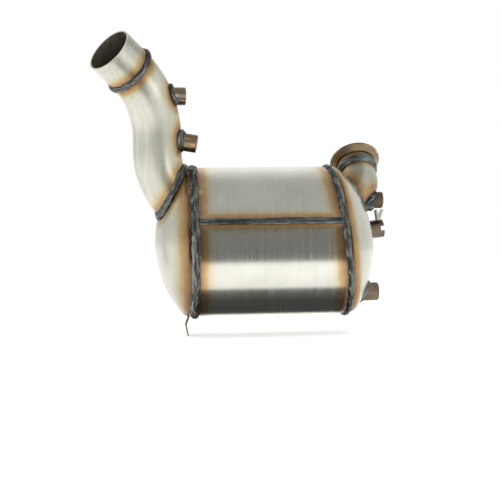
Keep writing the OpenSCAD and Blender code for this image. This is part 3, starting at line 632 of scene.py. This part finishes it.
def bead_relief(sizes, name, points, normals):
    """Moved points of a bead, and how far each stands proud of its neighbours from 0 to 1, which sets the
    bead's painted shade and highlight.

    Strands run along the bead and wander sideways, ripples cross it, and lumps and pits lie over all.
    """
    middle, axis, radius, straight = WELD_LINES[name]
    middle, axis = np.array(middle), np.array(axis)
    # Any direction across the axis will do as the start of the turn round it.
    side = np.cross(axis, (0.0, 0.31, 0.95) if abs(axis[2]) < 0.9 else (1.0, 0.0, 0.0))
    side /= np.linalg.norm(side)
    up = np.cross(axis, side)
    off = points - middle
    along, a, b = off @ axis, off @ side, off @ up
    if straight:
        ring = np.stack([along, np.zeros_like(along)], axis=1)
        phase = 2 * math.pi * along / sizes.ripple
        sideways = np.linalg.svd(off, full_matrices=False)[2][1]
        across = off @ sideways
        calm = STRAIGHT_CALM
    else:
        turn = np.arctan2(b, a)
        ring = radius * np.stack([np.cos(turn), np.sin(turn)], axis=1)
        phase = turn * round(2 * math.pi * radius / sizes.ripple)
        out = np.hypot(a, b) - radius
        # A bead in a corner leans: its strands lie side by side across its slope.
        lean = np.corrcoef(along, out)[0, 1]
        across = along + math.copysign(1.0, lean) * out
        sideways = (1.0 - abs(lean)) * axis
        calm = 1.0
    phase = phase + RIPPLE_TRAIL * (across / sizes.strand) ** 2
    seed = 10.0 * WELDS.index(name)
    grown, ridge, drift = (np.empty(len(points)) for _ in range(3))
    for i, (x, y) in enumerate(ring):
        slur = noise.noise(Vector((x / SLUR_RUN, y / SLUR_RUN, seed)))
        sway = noise.noise(Vector((x / SWAY_RUN, y / SWAY_RUN, seed + 3.0)))
        s = across[i] + calm * SLUR_REACH * slur
        flow = noise.noise(Vector((calm * x / STRAND_RUN, calm * y / STRAND_RUN, s / sizes.strand + seed)))
        lump = noise.noise(Vector((x / LUMP_RUN, y / LUMP_RUN, s / LUMP_WIDTH + seed)))
        pit = noise.noise(points[i] / PIT)
        wave = math.sin(phase[i] + RIPPLE_SLUR * slur)
        ridge[i] = 1.0 - STRAND_FALL * abs(flow)
        drift[i] = calm * sway
        grown[i] = (sizes.swell + sizes.flow * (ridge[i] - STRAND_FOOT) + calm * sizes.lump * lump
                    + sizes.height * RIPPLE_SHARE * (wave * (1.0 + slur) + pit))
    moved = points + normals * grown[:, None] + np.outer(sizes.sway * drift, sideways)
    ridged = (ridge - ridge.mean()) / ridge.std()
    raised = (grown - grown.mean()) / grown.std()
    return moved, np.clip(0.5 + PROUD_STRAND * ridged + PROUD_RAISED * raised, 0.0, 1.0)


# Shares of the bead's colour for the painted shade in its hollows and the painted highlight on its ridges,
# and the shares for red, green and blue where it is blued
BEAD_SHADE = 0.44
BEAD_HIGHLIGHT = 1.5
BLUED_SHADE = (0.92, 1.0, 1.1)
BLUED_HIGHLIGHT = (1.0, 1.07, 1.1)


class FILTER_OT_welds(bpy.types.Operator):
    """Lay the rippled weld beads in place of their smooth solids"""
    bl_idname = "filter.welds"
    bl_label = "Weld beads"

    def execute(self, context):
        sizes = context.scene.filter_welds
        finish = context.scene.filter_finish
        # Weld metal as laid: a grey oxide skin, with painted shade in the hollows and a painted highlight
        # on the ridges.
        dark, light = times(finish.bead, BEAD_SHADE), times(finish.bead, BEAD_HIGHLIGHT)
        grey = weld_metal("as-laid weld metal", dark, light)
        # The same where it cooled slowly: its skin is a little bluer.
        blue = weld_metal("as-laid weld metal, blued", tuple(c * k for c, k in zip(dark, BLUED_SHADE)),
                          tuple(c * k for c, k in zip(light, BLUED_HIGHLIGHT)))
        for name in WELDS:
            bead = merged_copy(name, name + "_bead")
            cells = bead.modifiers.new("cells", "REMESH")
            cells.mode = "VOXEL"
            cells.voxel_size = sizes.cell
            bpy.ops.object.modifier_apply(modifier=cells.name)
            mesh = bead.data
            count = len(mesh.vertices)
            points, normals = np.empty(count * 3), np.empty(count * 3)
            mesh.vertices.foreach_get("co", points)
            mesh.vertices.foreach_get("normal", normals)
            moved, proud = bead_relief(sizes, name, points.reshape(-1, 3), normals.reshape(-1, 3))
            mesh.vertices.foreach_set("co", moved.ravel())
            # How proud each point stands is kept for the bead's painted shade and highlight.
            mesh.attributes.new(RELIEF_SHADE_ATTRIBUTE, "FLOAT", "POINT").data.foreach_set("value", proud)
            mesh.update()
            bpy.ops.object.shade_smooth()
            mesh.materials.clear()
            mesh.materials.append(blue if SLOTS[name] == "blue_weld_metal" else grey)
            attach(bead, BODY)
            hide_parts(name)
        return {"FINISHED"}


THREAD_SEAT = 0.15 * MM
THREAD_STEPS = 40


class FILTER_OT_threads(bpy.types.Operator):
    """Cut the threads of the sensor bosses"""
    bl_idname = "filter.threads"
    bl_label = "Boss threads"

    def execute(self, context):
        sizes = context.scene.filter_threads
        for name, (mouth, axis, dims) in MOUNTS.items():
            if not name.endswith("_sensor"):
                continue
            radius, length = dims["r_mm"] * MM, dims["length_mm"] * MM
            # A three-sided ridge, its foot in the bore's wall, is turned into the boss from its mouth.
            bpy.ops.object.select_all(action="DESELECT")
            bpy.ops.mesh.primitive_circle_add(vertices=3, radius=sizes.depth, rotation=(math.pi / 2, 0, 0))
            ridge = context.active_object
            ridge.name = name + "_thread"
            bpy.ops.object.transform_apply(location=False, rotation=True, scale=False)
            bpy.ops.object.mode_set(mode="EDIT")
            bpy.ops.mesh.select_all(action="SELECT")
            bpy.ops.transform.rotate(value=math.pi / 2, orient_axis="Y", center_override=(0, 0, 0))
            bpy.ops.transform.translate(value=(radius + THREAD_SEAT, 0, sizes.pitch / 2))
            bpy.ops.object.mode_set(mode="OBJECT")
            screw = ridge.modifiers.new("screw", "SCREW")
            screw.axis = "Z"
            screw.screw_offset = sizes.pitch
            screw.iterations = int(length / sizes.pitch) - 1
            screw.steps = THREAD_STEPS
            screw.render_steps = THREAD_STEPS
            bpy.ops.object.modifier_apply(modifier=screw.name)
            bpy.ops.object.mode_set(mode="EDIT")
            bpy.ops.mesh.select_all(action="SELECT")
            bpy.ops.mesh.remove_doubles(threshold=MERGE)
            bpy.ops.mesh.fill_holes(sides=3)
            bpy.ops.mesh.normals_make_consistent(inside=False)
            bpy.ops.object.mode_set(mode="OBJECT")
            ridge.rotation_euler = (-axis).to_track_quat("Z", "Y").to_euler()
            ridge.location = mouth
            alone(ridge)
            bpy.ops.object.transform_apply(location=True, rotation=True, scale=True)
            boss = name.replace("_sensor", "_boss")
            ridge.data.materials.clear()
            ridge.data.materials.append(frame["nodes"][boss].data.materials[0])
            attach(ridge, BODY)
        return {"FINISHED"}


# Middle of the picture: beside the shell's outlet end and a little below its axis
AIM = Vector((SHELL_LOW.x + 75.7 * MM, AXIS_Y, AXIS_Z - 11.7 * MM))
FILM_WIDTH = 36.0

# Floor: its sides, its radius in metres, its gap below the filter, its paint's roller marks and its glow
FLOOR_SIDES = 96
FLOOR_RADIUS = 12.0
FLOOR_GAP = 0.2 * MM
ROLLER_MARK = 25 * MM
FLOOR_GLOW = 0.45

UPRIGHT = (math.pi / 2, 0, 0)
ASIDE = (math.pi / 2, 0, math.radians(-51))
LEVEL = (0, 0, 0)

# Boards round the filter, seen only in reflections. Each has its middle, its width and height in metres,
# its turn, and pairs of place and shade from its lower or front edge to the other.
BOARDS = [
    ("front_board", (SHELL_MID, AXIS_Y - 245 * MM, AXIS_Z - 28 * MM), (0.29, 0.213), UPRIGHT,
     ((0, 0.20), (0, 0.20))),
    ("back_board", (SHELL_MID, AXIS_Y + 300 * MM, AXIS_Z - 18 * MM), (0.40, 0.193), UPRIGHT,
     ((0, 0.25), (0, 0.25))),
    ("top_board", (SHELL_MID, AXIS_Y - 215 * MM, AXIS_Z + 420 * MM), (0.46, 1.07), LEVEL,
     ((0.72, 0.47), (1.0, 0.95))),
    ("pipe_board", (SHELL_LOW.x - 46 * MM, AXIS_Y - 600 * MM, AXIS_Z + 250 * MM), (0.60, 0.30), UPRIGHT,
     ((0, 0.60), (0, 0.60))),
    ("side_board", (SHELL_LOW.x - 560 * MM, AXIS_Y + 480 * MM, AXIS_Z + 90 * MM), (0.62, 0.62), ASIDE,
     ((0, 0.66), (0, 0.66))),
    ("side_strip", (SHELL_LOW.x - 500 * MM, AXIS_Y + 360 * MM, AXIS_Z - 20 * MM), (0.06, 0.20), ASIDE,
     ((0.6, 0.12), (1.0, 0.66))),
    # This board is painted shadow: a dark sheet on the floor, seen only in reflections, in place of the
    # shadow under the shell.
    ("painted_shadow_board", (SHELL_MID, AXIS_Y - 33 * MM, CAD_BOX[0].z + 0.5 * MM), (0.205, 0.116), LEVEL,
     ((0.0, 0.17), (0.35, 0.06))),
]
# A small bright card before each boss on the pipe draws one clear line along it.
CARD_PLACES = {
    "upper_pipe_boss": Vector((4 * MM, -60 * MM, 4 * MM)),
    "lower_pipe_boss": Vector((4 * MM, -60 * MM, -26 * MM)),
}
BOARDS += [
    (boss + "_card", sum(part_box(boss), Vector()) / 2 + place, (0.024, 0.024), UPRIGHT,
     ((0, 2.0), (0, 2.0)))
    for boss, place in CARD_PLACES.items()
]


def floor_paint():
    """Matt white paint with a faint roller mottle, which shows as white and keeps the shadow."""
    material, tree, place = new_material("matt white floor")
    mottle = node(tree, "ShaderNodeTexNoise", {"Vector": place, "Scale": 1 / ROLLER_MARK}).outputs[0]
    tone = node(tree, "ShaderNodeMix",
                {0: mottle, 6: (*linear("#f7f7f7"), 1), 7: (*linear("#fcfcfc"), 1)},
                data_type="RGBA").outputs[2]
    path = node(tree, "ShaderNodeLightPath").outputs
    seen = node(tree, "ShaderNodeMath", {0: path["Is Camera Ray"], 1: path["Is Glossy Ray"]},
                operation="MAXIMUM").outputs[0]
    seen = node(tree, "ShaderNodeMath", {0: seen, 1: path["Is Transmission Ray"]},
                operation="MAXIMUM").outputs[0]
    glow = node(tree, "ShaderNodeMath", {0: seen, 1: FLOOR_GLOW}, operation="MULTIPLY").outputs[0]
    surface(tree, {"Base Color": tone, "Roughness": 0.9, "Specular IOR Level": 0.1,
                   "Emission Color": (*WHITE, 1), "Emission Strength": glow})
    return material


def board_glow(name, height, shades):
    """Light that an even or shaded board sends back, from its lower edge to its upper one."""
    material, tree, place = new_material(name)
    level = node(tree, "ShaderNodeSeparateXYZ", {"Vector": place}).outputs["Y"]
    share = node(tree, "ShaderNodeMapRange", {0: level, 1: -height / 2, 2: height / 2}).outputs[0]
    ramp = node(tree, "ShaderNodeValToRGB", {"Fac": share},
                stops=[(edge, times(WHITE, shade)) for edge, shade in shades])
    glow = node(tree, "ShaderNodeEmission", {"Color": ramp.outputs[0]})
    node(tree, "ShaderNodeOutputMaterial", {"Surface": glow.outputs[0]})
    return material


class FILTER_OT_stage(bpy.types.Operator):
    """Set up the floor, the light and the camera"""
    bl_idname = "filter.stage"
    bl_label = "Studio"

    def execute(self, context):
        scene = context.scene
        sizes = scene.filter_stage
        scene.view_settings.view_transform = "Standard"
        bpy.ops.object.select_all(action="DESELECT")
        bpy.ops.mesh.primitive_circle_add(vertices=FLOOR_SIDES, radius=FLOOR_RADIUS, fill_type="NGON",
                                          location=(AIM.x, AIM.y, CAD_BOX[0].z - FLOOR_GAP))
        floor = context.active_object
        floor.name = "studio_floor"
        floor.data.materials.append(floor_paint())
        for name, middle, size, turn, shades in BOARDS:
            bpy.ops.object.select_all(action="DESELECT")
            bpy.ops.mesh.primitive_plane_add(size=1.0, location=middle, rotation=turn)
            board = context.active_object
            board.name = name
            board.scale = (*size, 1)
            bpy.ops.object.transform_apply(location=False, rotation=False, scale=True)
            board.data.materials.append(board_glow(name.replace("_", " "), size[1], shades))
            for ray in ("camera", "diffuse", "shadow", "transmission", "volume_scatter"):
                setattr(board, "visible_" + ray, False)
        # World: even white light all round.
        world = bpy.data.worlds.new("white studio")
        scene.world = world
        world.use_nodes = True
        tree = world.node_tree
        tree.nodes.clear()
        sky = node(tree, "ShaderNodeBackground", {"Color": (*WHITE, 1), "Strength": 1.0})
        node(tree, "ShaderNodeOutputWorld", {"Surface": sky.outputs[0]})
        # Camera at the photograph's place.
        data = bpy.data.cameras.new("camera")
        data.lens = sizes.lens
        data.sensor_width = FILM_WIDTH
        data.sensor_fit = "HORIZONTAL"
        data.clip_start = 0.05
        camera = bpy.data.objects.new("camera", data)
        scene.collection.objects.link(camera)
        forward = Vector((-math.sin(sizes.azimuth), math.cos(sizes.azimuth), 0))
        up = Vector((0, 0, 1))
        right = forward.cross(up)
        c, s = math.cos(sizes.roll), math.sin(sizes.roll)
        turn = Matrix((c * right + s * up, -s * right + c * up, -forward)).transposed().to_4x4()
        camera.matrix_world = Matrix.Translation(AIM - sizes.distance * forward) @ turn
        scene.camera = camera
        return {"FINISHED"}


class FILTER_PT_build(bpy.types.Panel):
    """Steps and sizes of the filter's looks"""
    bl_idname = "FILTER_PT_build"
    bl_label = "Filter"
    bl_space_type = "VIEW_3D"
    bl_region_type = "UI"
    bl_category = "Filter"

    def draw(self, context):
        for name in GROUPS:
            group = getattr(context.scene, name)
            for key in group.bl_rna.properties.keys():
                if key not in ("rna_type", "name"):
                    self.layout.prop(group, key)
        for step in STEPS:
            self.layout.operator(step.bl_idname)


GROUPS = {"filter_finish": FilterFinish, "filter_welds": FilterWelds, "filter_threads": FilterThreads,
          "filter_stage": FilterStage}
STEPS = (FILTER_OT_canister, FILTER_OT_tubes, FILTER_OT_turned, FILTER_OT_brackets, FILTER_OT_core,
         FILTER_OT_neck, FILTER_OT_welds, FILTER_OT_threads, FILTER_OT_stage)
CLASSES = (*GROUPS.values(), *STEPS, FILTER_PT_build)


def register():
    for cls in CLASSES:
        bpy.utils.register_class(cls)
    for name, group in GROUPS.items():
        setattr(bpy.types.Scene, name, bpy.props.PointerProperty(type=group))


def unregister():
    for name in GROUPS:
        delattr(bpy.types.Scene, name)
    for cls in reversed(CLASSES):
        bpy.utils.unregister_class(cls)


def main():
    """Builds the looks in order."""
    register()
    for step in STEPS:
        group, name = step.bl_idname.split(".")
        getattr(getattr(bpy.ops, group), name)()


if __name__ == "__main__":
    main()
